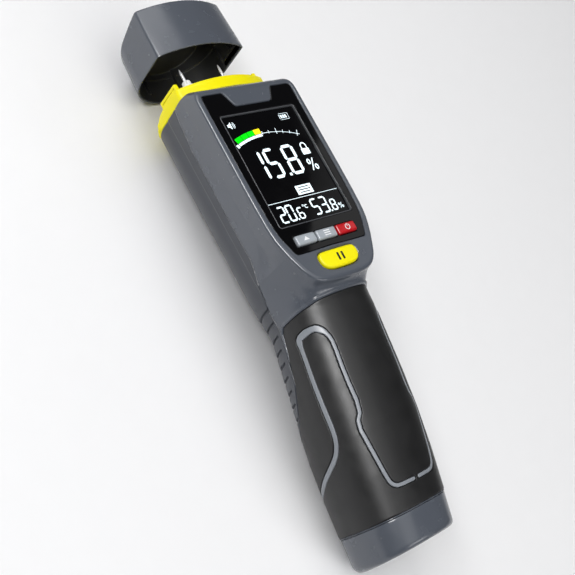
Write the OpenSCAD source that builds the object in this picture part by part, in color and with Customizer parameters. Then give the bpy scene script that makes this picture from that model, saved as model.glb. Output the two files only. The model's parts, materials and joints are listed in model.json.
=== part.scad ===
// Pin-type moisture meter with a lift-off pin cap, a display head and a rubber-covered handle.
// Design axes: X to the right, Y along the head towards the pins, Z out of the display.
// The finished model lies on its back, as it does on a table: +Z up, +Y towards the pins.

/* [Head] */
// Half of the head's width at its flat sides
head_half_w = 22.4; // [20:0.1:25]
// Height of the arch across the front of the head
front_arch = 5.5; // [3:0.1:7]
// Depth at which the rounded back of the head starts
back_start = 17; // [15:0.5:19]
// Depth of the rounded back
back_depth = 19.3; // [17:0.1:21]
// Wall of the housings
wall = 2.2; // [1.6:0.1:2.6]

/* [Display panel] */
// Lean of the display panel against the head's axis, in degrees
panel_tilt = 0.45; // [0:0.01:1.5]
// Height of the panel's rim above the head's front corners, at its middle
panel_z = 11.65; // [11:0.05:12.5]
// Distance of the panel's middle below the head's top edge
panel_mid = 42.5; // [38:0.5:46]
// Half of the panel's width at its top
panel_half_w = 25.7; // [25.5:0.05:26.5]
// Depth of the lens surface below the rim
lens_sink = 0.4; // [0.2:0.1:0.6]
// Thickness of the lens
lens_t = 1.2; // [0.8:0.1:1.5]

/* [Keys] */
// Width of each of the three small keys
key_w = 9.9; // [8:0.1:9.9]
// Length of each small key along the head
key_l = 4.2; // [3.6:0.1:4.8]
// Distance from one small key to the next
key_pitch = 10.7; // [10.7:0.1:11.2]
// Distance of the small keys' row below the head's top edge
key_row = 73.5; // [73:0.1:74]
// How far a small key goes down
key_travel = 0.7; // [0.4:0.1:0.8]
// Half of the hold button's width
hold_half_w = 9.8; // [9:0.1:10.5]
// How far the hold button goes down
hold_travel = 0.8; // [0.5:0.1:1]

/* [Pins] */
// Distance between the two pins
pin_pitch = 20; // [18:0.5:22]
// Depth of the pins behind the head's front corners
pin_depth = 6.9; // [6:0.1:8]
// Height of the pin tips above the head's top edge
pin_tip = 18.8; // [17:0.1:20]
// Radius of a pin
pin_r = 0.6; // [0.4:0.05:0.9]

/* [Pin cap] */
// Gap between the head's top edge and the lifted cap's rim
cap_lift = 21.6; // [21:0.1:24]
// Height of the cap at its front corners
cap_h = 23.3; // [21:0.1:24]
// Wall of the cap
cap_wall = 1.2; // [1:0.1:1.3]
// Height of the yellow collar, on which the closed cap sits
collar_h = 5.5; // [5:0.1:6]

/* [Handle] */
// How far the handle's middle line runs back for each millimetre down
handle_lean = 0.238; // [0.2:0.001:0.26]
// Thickness of the rubber sleeve
sleeve_t = 1.6; // [1.2:0.1:2]
// Width of the grey strips let into the rubber
inlay_w = 2; // [1.4:0.1:2.6]
// Thickness of those strips
inlay_t = 0.9; // [0.6:0.1:1.1]
// Distance of the base below the head's top edge
base_drop = 191.7; // [188:0.1:194]
// Distance of the handle's lower joint below the head's top edge, at its middle
joint_drop = 177.6; // [176:0.1:179]
// Lean of that joint, in degrees
joint_lean = 4.2; // [3:0.1:6]
// How far the battery cap pulls off
battery_cap_travel = 30; // [20:1:40]

/* [Resting place] */
// Lean of the head's axis as the meter lies on its back, in degrees
rest_tilt = 5.5; // [5:0.01:6]
// Shift along Y that puts the origin under the middle
origin_y = 76.31; // [70:0.01:85]
// Height of the collar's front above the table; it leaves a narrow flat under both caps
origin_z = 38.57; // [30:0.01:45]

/* [Hidden] */

grey = [0.36, 0.38, 0.42];
dark_grey = [0.3, 0.32, 0.36];
yellow = [1, 0.94, 0.05];
rubber = [0.12, 0.12, 0.12];
gap = 0.1;
// A square wider than the meter is long
table = 300;
ring_n = 48;
arch_r = (head_half_w * head_half_w + front_arch * front_arch) / (2 * front_arch);
handle_power = 2.5;
neck_top = -78;
neck_end = -96.5;
neck_mid_z = -15;
joint_mid_z = neck_mid_z - handle_lean * (joint_drop + neck_end);
plate_t = 2.6;
lens_pocket = lens_sink + lens_t;
shelf_t = 1.4;
key_top = 0.8;
hold_top = 1.2;
hold_y = -84.5;
flange_t = 0.7;
board_z = -9.4;
board_t = 1.6;
lcd_half_w = 18.9;
lcd_top = -16.3;
lcd_bottom = -66.7;
cell_r = 7.15;
cell_l = 49.5;
carrier_top = -126;

// ---- helpers ----

function lerp(a, b, t) = a + (b - a) * t;
function ease(t) = let (c = min(1, max(0, t))) c * c * (3 - 2 * c);
function neck_blend(y) = ease((neck_top - y) / (neck_top - neck_end));

// Depth of the section's middle, at each place along the head and handle
function mid_z(y) = lerp(-back_start,
    neck_mid_z - handle_lean * max(0, neck_end - y), neck_blend(y));

// Half width of the handle, from its neck down to its base
function handle_half(y) = lookup(y, [[-192, 20.4], [-178, 21.1], [-162, 21.9], [-146, 22.2],
    [-130, 21.8], [-114, 21], [-96.5, 20.1], [-88, 20.6]]);

// Radius of the head's section: flat sides, an arched front and a rounded back
function head_radius(a) =
    let (c = abs(cos(a)), s = sin(a), drop = arch_r - front_arch - back_start)
    s < 0 ? 1 / sqrt(pow(c / head_half_w, 2) + pow(s / back_depth, 2))
    : min(c < 0.001 ? 1000 : head_half_w / c,
        -drop * s + sqrt(drop * drop * (s * s - 1) + arch_r * arch_r));

// Radius of the handle's rounded square section
function handle_radius(a, y) = handle_half(y)
    / pow(pow(abs(cos(a)), handle_power) + pow(abs(sin(a)), handle_power), 1 / handle_power);

function body_radius(a, y) = lerp(head_radius(a), handle_radius(a, y), neck_blend(y));

// One section of the body, drawn in by inset
function body_ring(y, inset) = [for (i = [0:ring_n - 1])
    let (a = i * 360 / ring_n, r = body_radius(a, y) - inset)
    [r * cos(a), y, mid_z(y) + r * sin(a)]];

// Joins a row of sections, given from the head down, into one solid
module loft(rings) {
    n = len(rings[0]);
    m = len(rings);
    sides = [for (i = [0:m - 2], j = [0:n - 1], k = [0:1])
        k == 0 ? [i * n + j, (i + 1) * n + j, i * n + (j + 1) % n]
        : [i * n + (j + 1) % n, (i + 1) * n + j, (i + 1) * n + (j + 1) % n]];
    first = [for (j = [0:n - 1]) j];
    last = [for (j = [n - 1:-1:0]) (m - 1) * n + j];
    polyhedron([for (r = rings) each r], concat(sides, [first, last]));
}

// Makes one smooth closed solid of a loft and its cuts
module smooth_solid() resize([0, 0, 0]) children();

module body_loft(places, inset = 0) loft([for (y = places) body_ring(y, inset)]);

// Puts a part on the display panel: its own z is the height above the panel's rim
module on_panel() translate([0, -panel_mid, panel_z]) rotate([panel_tilt, 0, 0])
    translate([0, panel_mid, 0]) children();

// Lays a cylinder along Y, from y0 to y1
module rod(x, z, y0, y1, r, r_end = -1) translate([x, y0, z]) rotate([-90, 0, 0])
    cylinder(h = y1 - y0, r1 = r, r2 = r_end < 0 ? r : r_end, $fn = 48);

// Follows the handle's middle line: its own y runs from the neck's end down the handle
module on_handle(y) translate([0, y, mid_z(y)]) rotate([atan(handle_lean), 0, 0]) children();

module placed() translate([0, origin_y, origin_z]) rotate([-rest_tilt, 0, 0]) children();

// The narrow flat that keeps the meter from rolling on a table
module flat_below() intersection() {
    children();
    translate([-table / 2, -table / 2, 0]) cube(table);
}

// ---- outlines ----

function mirrored(right) = concat(right, [for (i = [len(right) - 1:-1:0]) [-right[i][0], right[i][1]]]);

// The panel's rim, from the chin up to the top corner
module panel_outline(inset = 0) {
    side = [[0.01, -92.1 + inset], [9.5, -91.6 + inset], [13.6 - 0.3 * inset, -90.4 + 0.9 * inset],
        [16.6 - 0.7 * inset, -88.1 + 0.6 * inset], [20 - 0.9 * inset, -82.9 + 0.4 * inset],
        [23.1 - inset, -75.2], [24.9 - inset, -68.8], [25.5 - inset, -58], [panel_half_w - inset, -40],
        [panel_half_w - inset, -8], [panel_half_w - 0.8 - inset, -5 - 0.5 * inset],
        [panel_half_w - 3.2 - inset, -4 - inset]];
    polygon(mirrored(side));
}

// The lens, with a notch in the middle of its top edge
module lens_outline(inset = 0) {
    side = [[14.5, -78.9 + inset], [17.6 - inset, -78.6 + inset], [18.9 - inset, -77.2],
        [20.9 - inset, -72.4], [22.2 - inset, -66.8], [22.8 - inset, -59], [23 - inset, -40],
        [23.1 - inset, -7.9 - inset], [21.4 - inset, -6.1 - inset], [12.8 + inset, -6.1 - inset],
        [9.6 + inset, -12], [8.2 + 0.7 * inset, -12.8 - inset]];
    polygon(mirrored(side));
}

module hold_outline(grow = 0) {
    w = hold_half_w;
    side = [[0.01, hold_y - 4 - grow], [6.5, hold_y - 3.8 - grow], [w - 0.8 + 0.7 * grow, hold_y - 2 - 0.7 * grow],
        [w + grow, hold_y + 1], [w - 0.8 + 0.8 * grow, hold_y + 3.2 + 0.6 * grow],
        [w - 3, hold_y + 3.6 + grow]];
    polygon(mirrored(side));
}

function key_x(i) = (i - 1) * key_pitch;

module key_prism(i, grow, z0, z1) on_panel() translate([key_x(i), -key_row, z0])
    linear_extrude(z1 - z0) square([key_w + 2 * grow, key_l + 2 * grow], center = true);

// Side profile of the ground that the rubber sleeve covers, all but the ribbed spine at the back
module sleeve_side() translate([-40, 0, 0]) rotate([90, 0, 90]) linear_extrude(80)
    polygon([[-94.9, 20], [-95.2, 3], [-97.2, -15], [-104.4, -17.7], [-117.7, -22.7], [-129.2, -30.6],
        [-137, -40], [-144, -52], [-144, -80], [-190, -80], [-190, 20]]);

// The space above the handle's lower joint
module above_joint(shift = 0) translate([0, -joint_drop + shift, joint_mid_z])
    rotate([joint_lean, 0, 0]) translate([-40, 0, -60]) cube([80, 250, 120]);

// The space in front of the line where the two housings meet
module front_side(shift = 0) translate([-40, 0, shift]) rotate([90, 0, 90]) linear_extrude(80)
    polygon([[10, -5], [0, -5], [-19, -8.4], [-68, -8.4], [-88, -16.5], [-96.5, -17],
        [-190, -39.25], [-190, 60], [10, 60]]);

head_places = [0, -8, -30, -55, -78, -83, -87, -91, -94];
handle_places = [-96.5, -104, -114, -130, -146, -162, -174, -184];

// ---- housings ----

// The raised ground that carries the display, from the panel's rim down to the sides
module panel_hood(inset = 0, drop = 0) hull() {
    on_panel() translate([0, 0, -drop - 0.1]) linear_extrude(0.1) panel_outline(inset);
    translate([0, 0, -9]) linear_extrude(0.1)
        polygon(mirrored([[0.01, -91.5 + inset], [14, -90.5 + inset], [20.4 - inset, -87],
            [22.8 - inset, -79], [22.6 - inset, -0.2 - inset]]));
}

// The outer form of both housings together, drawn in under the rubber sleeve
module housing_form() difference() {
    union() {
        body_loft(concat(head_places, handle_places));
        panel_hood();
    }
    intersection() {
        difference() {
            sleeve_side();
            body_loft([-90, -94, -96.5, -104, -114, -130, -146, -162, -174, -191], sleeve_t + gap);
        }
        translate([-40, -200, -90]) cube([80, 105.5, 110]);
    }
}

module housing_hollow() {
    body_loft(concat([0.5], [for (y = head_places) if (y < -1 && y > -86) y], [-89]), wall);
    body_loft([-88, -94, -96.5, -104, -114, -130, -146, -162, -174, -191], wall + sleeve_t + gap);
    panel_hood(wall, plate_t);
}

module rib_grooves() for (i = [0:8]) let (y = -88.2 - 5 * i)
    translate([0, y, mid_z(y) - body_radius(-90, y) - 0.55])
        cube([60, 0.8, 2.4], center = true);

module front_housing() color(grey) placed() smooth_solid() intersection() {
    difference() {
        housing_form();
        housing_hollow();
        on_panel() translate([0, 0, -lens_pocket]) linear_extrude(5) lens_outline();
        on_panel() translate([-lcd_half_w, lcd_bottom, -8])
            cube([2 * lcd_half_w, lcd_top - lcd_bottom, 10]);
        on_panel() translate([0, 0, -8]) linear_extrude(12) hold_outline(0.25);
        for (i = [0:2]) key_prism(i, 0.25, -8, 4);
    }
    front_side(gap / 2);
    above_joint(0.4);
}

module rear_housing() color(dark_grey) placed() smooth_solid() difference() {
    housing_form();
    housing_hollow();
    front_side(-gap / 2);
    rib_grooves();
    difference() {
        translate([-60, -250, -100]) cube([120, 110, 150]);
        above_joint(0.4);
    }
    at_screws() translate([0, 0, -50]) cylinder(h = 25, r = 2.3, $fn = 16);
}

// ---- head ----

module head_collar() color(yellow) placed() smooth_solid() difference() {
        union() {
            difference() {
                body_loft([collar_h, gap / 2]);
                body_loft([collar_h - 2, -1], 2.2);
            }
            difference() {
                body_loft([collar_h - 1.9, -5], wall + 0.15);
                body_loft([collar_h - 2, -6], wall + 1.8);
            }
            collar_tabs();
        }
        for (x = [-1, 1]) rod(x * pin_pitch / 2, -pin_depth, -1, 20, 2.9);
        rod(0, -24, -1, 10, 3.1);
}

// The tabs that hold the pin cap, with scallops along their backs
module collar_tabs() for (x = [-1, 1]) translate([x * (head_half_w - cap_wall - 0.9), 0, 0]) {
    hull() {
        translate([-0.6, collar_h - 1, -12.8]) cube([1.2, 4.3, 1]);
        translate([-0.6, collar_h - 1, -3.4]) cube([1.2, 3, 1]);
    }
}

module pin_block() color([0.16, 0.17, 0.18]) placed() difference() {
    translate([-15.5, -9, -13.5]) cube([31, 8.4, 11.6]);
    for (x = [-1, 1]) rod(x * pin_pitch / 2, -pin_depth, -10, 0, 2.6);
}

module pin_sockets() color([0.8, 0.66, 0.36]) placed() for (x = [-1, 1]) difference() {
    rod(x * pin_pitch / 2, -pin_depth, -9.6, 8.8, 2.5);
    rod(x * pin_pitch / 2, -pin_depth, 0, 9, pin_r + 0.05);
}

module pin_holders() color([0.9, 0.91, 0.92]) placed() for (x = [-1, 1]) difference() {
    union() {
        rod(x * pin_pitch / 2, -pin_depth, 8.9, 10.1, 2.7);
        rod(x * pin_pitch / 2, -pin_depth, 10.1, 12.6, 2, 1.7);
    }
    rod(x * pin_pitch / 2, -pin_depth, 8, 13, pin_r + 0.05);
}

module pin(x) color([0.85, 0.86, 0.88]) placed() {
    rod(x * pin_pitch / 2, -pin_depth, 0.5, pin_tip - 2, pin_r);
    rod(x * pin_pitch / 2, -pin_depth, pin_tip - 2, pin_tip, pin_r, 0.1);
}

module left_pin() pin(-1);
module right_pin() pin(1);

module sensor_vent() color([0.2, 0.2, 0.21]) placed() difference() {
    rod(0, -24, 2.6, collar_h + 0.4, 3);
    for (i = [-1:1]) translate([i * 1.6 - 0.35, 2, -26]) cube([0.7, 5, 4]);
}

module humidity_sensor() color([0.1, 0.35, 0.22]) placed() {
    translate([-3.5, -3, -26]) cube([7, 1, 5]);
    translate([-1.5, -2, -25.3]) cube([3, 1.2, 3]);
}

// ---- display ----

module display_lens() color([0.03, 0.03, 0.04]) placed() difference() {
    on_panel() translate([0, 0, -lens_pocket + 0.02]) linear_extrude(lens_t - 0.02) lens_outline(0.15);
    for (i = [0:2]) key_prism(i, 0.25, -8, 4);
}

module lcd_panel() color([0.1, 0.1, 0.12]) placed() on_panel()
    translate([-19.6, lcd_bottom - 1.6, -5.4]) cube([39.2, lcd_top - lcd_bottom + 3.2, 1.9]);

module lcd_backlight() color([0.9, 0.92, 0.95]) placed() on_panel()
    translate([-19, lcd_bottom - 1, -7.4]) cube([38, lcd_top - lcd_bottom + 2, 1.9]);

module lcd_frame() color([0.2, 0.2, 0.22]) placed() on_panel() difference() {
    translate([-20.9, lcd_bottom - 2.9, -7.5]) cube([41.8, lcd_top - lcd_bottom + 5.8, 4]);
    translate([-19.8, lcd_bottom - 1.8, -8]) cube([39.6, lcd_top - lcd_bottom + 3.6, 5]);
}

module at_board_screws() for (p = [[15.5, -12], [13.5, -77]], x = [-1, 1])
    translate([x * p[0], p[1], 0]) children();

module main_board() color([0.05, 0.32, 0.18]) placed() on_panel() difference() {
    translate([0, 0, board_z]) linear_extrude(board_t)
        polygon(mirrored([[8, -88], [16.5, -78.5], [20, -70], [20, -10]]));
    at_board_screws() translate([0, 0, board_z - 1]) cylinder(h = 4, r = 1.3, $fn = 32);
}

module processor() color([0.08, 0.08, 0.09]) placed() on_panel() {
    translate([-6, -40, board_z - 1.6]) cube([12, 12, 1.55]);
    translate([8, -52, board_z - 1.3]) cube([6, 5, 1.25]);
    translate([-15, -58, board_z - 1.8]) cube([7, 4, 1.75]);
}

module key_switches() color([0.75, 0.75, 0.72]) placed() on_panel() {
    for (i = [0:2]) translate([key_x(i), -key_row, board_z + board_t]) {
        translate([-2.6, -2.3, 0.02]) cube([5.2, 4.6, 1.4]);
        translate([0, 0, 1.42]) cylinder(h = 0.5, r = 1.2, $fn = 32);
    }
    translate([-2.6, hold_y - 2.3, board_z + board_t + 0.02]) cube([5.2, 4.6, 1.4]);
    translate([0, hold_y, board_z + board_t + 1.44]) cylinder(h = 0.5, r = 1.2, $fn = 32);
}

module buzzer() color([0.12, 0.12, 0.13]) placed() on_panel() difference() {
    translate([0, -66, board_z - 4.6]) cylinder(h = 4.5, r = 6, $fn = 64);
    translate([0, -66, board_z - 5]) cylinder(h = 2, r = 1, $fn = 32);
}

module board_screws() color([0.7, 0.7, 0.72]) placed() on_panel()
    at_board_screws() {
        translate([0, 0, board_z - 1.7]) cylinder(h = 1.6, r = 2.2, $fn = 32);
        translate([0, 0, board_z - 0.1]) cylinder(h = board_t + 1.5, r = 1.1, $fn = 32);
    }

module signal_leads() color([0.8, 0.1, 0.1]) placed() for (x = [-1, 1]) hull() {
    translate([x * pin_pitch / 2, -10.4, -pin_depth]) sphere(r = 0.7, $fn = 12);
    translate([x * pin_pitch / 2, -15, 1.5]) sphere(r = 0.7, $fn = 12);
}

module at_screws() for (x = [-1, 1], y = [-14, -66]) translate([x * 13, y, 0]) children();

module housing_screws() color([0.6, 0.61, 0.63]) placed() at_screws() difference() {
    union() {
        translate([0, 0, -32.6]) cylinder(h = 1.6, r = 2.1, $fn = 32);
        translate([0, 0, -31.1]) cylinder(h = 12, r = 1.2, $fn = 32);
    }
    translate([-0.3, -1.4, -33]) cube([0.6, 2.8, 1]);
}

// ---- handle ----

sleeve_places = [-92, -94, -96.5, -100, -104, -109, -114, -122, -130, -138, -146, -154, -162, -170,
    -178, -191];
core_places = [-90, -94, -96.5, -104, -114, -130, -146, -162, -174, -195];

module grip_sleeve() color(rubber) placed() smooth_solid() intersection() {
    difference() {
        body_loft(sleeve_places, -0.1);
        body_loft(core_places, sleeve_t);
        strip(-1, inlay_w + 0.2, -1, inlay_t + 0.1);
        strip(1, inlay_w + 0.2, -1, inlay_t + 0.1);
    }
    translate([-0.5, 0, 0]) sleeve_side();
    above_joint(0.5);
}

// Where a grey strip runs over the side of the handle: angle round the handle, and place along it
inlay_path = [[266, -163.2], [232, -161.4], [206.5, -157.3], [193.5, -154.6], [178.4, -152.1],
    [168, -150.2], [161, -148], [156.5, -144.5], [155.8, -139.5], [157.5, -131], [159.3, -121],
    [160.2, -106.3], [160, -104.4], [152.3, -103.7], [140.2, -103.55], [134.7, -104.9], [128, -108.2],
    [125.8, -112], [126, -124], [123.5, -138.3], [131, -142.4], [126.8, -153], [121.8, -165.6],
    [119, -167.8], [113.5, -169.2], [94, -169.4]];

// Cuts the corners of a path once
function eased(p) = concat([p[0]], [for (i = [0:len(p) - 2], t = [0.25, 0.75]) lerp(p[i], p[i + 1], t)],
    [p[len(p) - 1]]);

// A place on the handle, from an angle, a place along it and a depth below its surface
function on_side(side, a, y, depth) = let (r = body_radius(a, y) - depth)
    [-side * r * cos(a), y, mid_z(y) + r * sin(a)];

// One strip, w wide, between two depths
module strip(side, w, from, to) {
    path = eased(inlay_path);
    arc = handle_half(-140) * PI / 180;
    rings = [for (i = [0:len(path) - 1])
        let (a = path[max(0, i - 1)], b = path[min(len(path) - 1, i + 1)],
            run = [(b[0] - a[0]) * arc, b[1] - a[1]], n = [-run[1] / arc, run[0]] * w / 2 / norm(run),
            p = path[i] + n, q = path[i] - n)
        [on_side(side, p[0], p[1], from), on_side(side, q[0], q[1], from),
            on_side(side, q[0], q[1], to), on_side(side, p[0], p[1], to)]];
    loft(side > 0 ? rings : [for (r = rings) [r[3], r[2], r[1], r[0]]]);
}

module inlay(side) color([0.44, 0.46, 0.49]) placed() smooth_solid() strip(side, inlay_w, -0.05, inlay_t);

module left_grip_inlay() inlay(-1);
module right_grip_inlay() inlay(1);

module grip_end_ring() color(grey) placed() smooth_solid() intersection() {
    difference() {
        body_loft([-160, -170, -178, -191], 0.5);
        body_loft([-158, -170, -178, -195], sleeve_t + wall + 0.2);
    }
    above_joint(0.05);
    difference() {
        translate([-50, -250, -100]) cube([100, 200, 150]);
        above_joint(0.35);
    }
}

// ---- battery compartment ----

module at_cells() for (i = [0:2]) translate([8.35 * cos(90 + 120 * i), 0, 8.35 * sin(90 + 120 * i)])
    children();

module battery_carrier() color([0.13, 0.13, 0.14]) placed() on_handle(carrier_top) difference() {
    union() {
        translate([0, -60, 0]) rotate([-90, 0, 0]) cylinder(h = 3, r = 15.6, $fn = 96);
        translate([0, -3.05, 0]) rotate([-90, 0, 0]) cylinder(h = 3, r = 15.6, $fn = 96);
        for (i = [0:2]) rotate([0, 120 * i + 60, 0]) translate([-1, -57.5, 10.5]) cube([2, 55, 4.6]);
    }
    translate([0, -70, 0]) rotate([-90, 0, 0]) cylinder(h = 80, r = 1, $fn = 32);
}

module batteries() color([0.75, 0.55, 0.25]) placed() on_handle(carrier_top) at_cells() {
    translate([0, -55.4, 0]) rotate([-90, 0, 0]) cylinder(h = cell_l, r = cell_r, $fn = 64);
    translate([0, -5.9, 0]) rotate([-90, 0, 0]) cylinder(h = 1, r = 2.6, $fn = 32);
}

module carrier_contacts() color([0.8, 0.78, 0.7]) placed() on_handle(carrier_top) at_cells() {
    translate([0, -4.4, 0]) rotate([-90, 0, 0]) cylinder(h = 1.2, r = 4, $fn = 48);
    translate([0, -56.9, 0]) rotate([-90, 0, 0]) cylinder(h = 1.4, r1 = 4, r2 = 2.5, $fn = 48);
}

module contact_board() color([0.05, 0.32, 0.18]) placed() on_handle(carrier_top)
    translate([0, 0.6, 0]) rotate([-90, 0, 0]) cylinder(h = 1.6, r = 15.2, $fn = 96);

module power_leads() color([0.75, 0.1, 0.1]) placed() for (x = [-1, 1]) hull() {
    translate([x * 5, -121, -21]) sphere(r = 0.8, $fn = 12);
    translate([x * 5, -81.5, 0.9]) sphere(r = 0.8, $fn = 12);
}

// ---- parts that move ----

function cap_ring(y, inset, back_drop = 0) = [for (i = [0:ring_n - 1])
    let (a = i * 360 / ring_n, r = head_radius(a) * (1 - 0.047 * (y - cap_lift) / cap_h) - inset,
        z = r * sin(a), back = max(0, -z - back_start * 0.1))
    [r * cos(a), y - back_drop * (0.004 * back * back + 0.11 * back), mid_z(0) + z]];

module pin_cap() color(grey) smooth_solid() flat_below() placed() difference() {
    loft([cap_ring(cap_lift + cap_h, 2, 1), cap_ring(cap_lift + cap_h - 0.4, 0.5, 1),
        cap_ring(cap_lift + cap_h - 1.5, 0, 1), cap_ring(cap_lift + 10, 0), cap_ring(cap_lift, 0)]);
    difference() {
        loft([cap_ring(cap_lift + cap_h - 2.2, cap_wall, 1), cap_ring(cap_lift - 1, cap_wall)]);
        difference() {
            rod(0, -pin_depth - 7, cap_lift + 15, cap_lift + cap_h, 4);
            rod(0, -pin_depth - 7, cap_lift + 14, cap_lift + cap_h - 4, 2.6);
        }
    }
}

module key(i, tint) color(tint) placed() {
    key_prism(i, 0, -3.6, key_top - 0.4);
    key_prism(i, -0.4, key_top - 0.4, key_top);
    key_prism(i, 0.3, -lens_pocket - shelf_t - flange_t - 0.1, -lens_pocket - shelf_t - 0.1);
    on_panel() translate([key_x(i), -key_row, board_z + board_t + 2.8]) cylinder(h = 1.5, r = 1.2, $fn = 32);
}

module left_key() key(0, [0.8, 0.83, 0.86]);
module middle_key() key(1, [0.8, 0.83, 0.86]);
module power_key() key(2, [0.86, 0.1, 0.16]);

module hold_button() color(yellow) placed() on_panel() {
    translate([0, 0, -4]) linear_extrude(4 + hold_top - 0.8) hold_outline();
    translate([0, 0, hold_top - 0.8]) linear_extrude(0.8) offset(-0.8) hold_outline();
    translate([0, 0, -4]) linear_extrude(1.2) hold_outline(0.9);
    translate([0, hold_y, -5]) cylinder(h = 1.5, r = 1.2, $fn = 32);
}

module battery_cap() color(grey) smooth_solid() flat_below() placed() difference() {
    loft([body_ring(-170, 0), body_ring(-178, 0), body_ring(-base_drop + 3.4, 0),
        body_ring(-base_drop + 1, 1), body_ring(-base_drop, 3.4)]);
    body_loft([-160, -178, -base_drop + 2.4], sleeve_t + 0.6);
    above_joint(-0.1);
}

module battery_cap_clips() color([0.2, 0.2, 0.22]) placed() for (x = [-1, 1])
    translate([x * 16.2 - 0.45, -186.2, -40]) cube([0.9, 16, 6]);

module battery_cap_seal() color([0.08, 0.08, 0.08]) placed() smooth_solid() difference() {
    body_loft([-base_drop + 4, -base_drop + 2.5], sleeve_t + 0.7);
    body_loft([-base_drop + 5, -base_drop + 2], sleeve_t + 2.2);
}

front_housing();
rear_housing();
head_collar();
pin_block();
pin_sockets();
pin_holders();
left_pin();
right_pin();
sensor_vent();
humidity_sensor();
display_lens();
lcd_panel();
lcd_backlight();
lcd_frame();
main_board();
processor();
key_switches();
buzzer();
board_screws();
signal_leads();
housing_screws();
grip_sleeve();
left_grip_inlay();
right_grip_inlay();
grip_end_ring();
battery_carrier();
batteries();
carrier_contacts();
contact_board();
power_leads();
pin_cap();
left_key();
middle_key();
power_key();
hold_button();
battery_cap();
battery_cap_clips();
battery_cap_seal();
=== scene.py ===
"""Looks of the pin-type moisture meter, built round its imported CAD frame.

Shapes are worked out in the meter's own design axes, in millimetres: x to the right, y along the
head towards the pins, z out of the display. place() takes them to the frame, in metres.
Shells are distance fields: negative inside, positive outside.
"""
import json
import math
import bmesh
import bpy
import numpy as np
import openvdb
from mathutils import Matrix, Vector


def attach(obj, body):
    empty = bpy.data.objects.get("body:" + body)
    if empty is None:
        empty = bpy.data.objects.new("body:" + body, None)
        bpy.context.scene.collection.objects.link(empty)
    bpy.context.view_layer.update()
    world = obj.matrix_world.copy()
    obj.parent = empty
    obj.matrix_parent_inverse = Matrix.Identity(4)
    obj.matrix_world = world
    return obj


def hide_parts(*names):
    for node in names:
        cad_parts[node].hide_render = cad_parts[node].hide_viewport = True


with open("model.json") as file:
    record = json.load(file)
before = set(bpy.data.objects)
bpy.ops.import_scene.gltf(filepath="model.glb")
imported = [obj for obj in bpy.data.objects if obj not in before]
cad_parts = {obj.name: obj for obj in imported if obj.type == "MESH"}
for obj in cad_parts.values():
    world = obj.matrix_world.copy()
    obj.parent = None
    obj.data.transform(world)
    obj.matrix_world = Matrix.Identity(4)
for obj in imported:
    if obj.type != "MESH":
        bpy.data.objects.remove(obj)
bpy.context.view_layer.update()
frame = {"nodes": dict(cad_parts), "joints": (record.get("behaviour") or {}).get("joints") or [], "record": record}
MM = 0.001

# ---- place in the frame ----

JOINTS = {joint["name"]: joint for joint in frame["joints"]}
HEAD_AXIS = Vector(JOINTS["cap_slide"]["axis"])
REST_TILT = math.atan2(-HEAD_AXIS.z, HEAD_AXIS.y)
BASE_DROP = 191.7
NECK_END = -96.5
HANDLE_LEAN = 0.238
BASE_MID = Vector((0, -BASE_DROP, -15 - HANDLE_LEAN * (BASE_DROP + NECK_END)))
BASE_MOUNT = next(m for m in frame["record"]["mounts"] if m["name"] == "base_face")
TURN = Matrix.Rotation(-REST_TILT, 3, "X")
SHIFT = Vector(BASE_MOUNT["pos_m"]) / MM - TURN @ BASE_MID
TURN_NP = np.array(TURN)
SHIFT_NP = np.array(SHIFT)


def place(points):
    """Design points in millimetres, as an (n, 3) array, to frame points in metres."""
    return (np.asarray(points, float) @ TURN_NP.T + SHIFT_NP) * MM


# ---- sizes ----

HEAD_HALF_W = 22.4
FRONT_ARCH = 5.5
BACK_START = 17.0
BACK_DEPTH = 19.3
ARCH_R = (HEAD_HALF_W ** 2 + FRONT_ARCH ** 2) / (2 * FRONT_ARCH)
WALL = 2.2
NECK_TOP = -78.0
HANDLE_POWER = 2.5
HANDLE_Y = [-192, -178, -162, -146, -130, -114, -96.5, -88]
HANDLE_HALF = [20.4, 21.1, 21.9, 22.2, 21.8, 21, 20.1, 20.6]
PANEL_TILT = math.radians(0.45)
PANEL_MID = 42.5
PANEL_Z = 11.65
PANEL_TOP = -4.0
RIM_ROUND = 0.8
RIM_FLAT = 0.5
NECK_Y = [-96.5, -88, -78]
NECK_HALF = [16.4, 18.9, 22.4]
NECK_FOOT = 95.0
FLARE_DEPTH = 14.0
LENS_SINK = 0.4
LENS_T = 1.2
SLEEVE_T = 1.6
SLEEVE_PROUD = 0.4
JOINT_DROP = 177.6
JOINT_LEAN = math.radians(4.2)
CAP_LIFT = 21.6
CAP_H = 23.3
CAP_WALL = 1.2
COLLAR_H = 5.5
PIN_X = 10.0
PIN_Z = -6.9
KEY_ROW = -73.5
KEY_PITCH = 10.7
KEY_W = 9.9
KEY_L = 4.2
HOLD_Y = -84.1
HOLD_TOP = 1.2
SCREEN_SINK = 0.9
SCREEN_HALF = 18.9
SCREEN_LOW = -66.7
SCREEN_HIGH = -16.3

# ---- distance fields ----


def ease(t):
    t = np.clip(t, 0, 1)
    return t * t * (3 - 2 * t)


def lerp(a, b, t):
    return a + (b - a) * t


def smax(a, b, r):
    """Larger of two fields, with the edge between them rounded over about r."""
    h = np.maximum(r - np.abs(a - b), 0) / r
    return np.maximum(a, b) + h * h * r * 0.25


def smin(a, b, r):
    return -smax(-a, -b, r)


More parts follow.
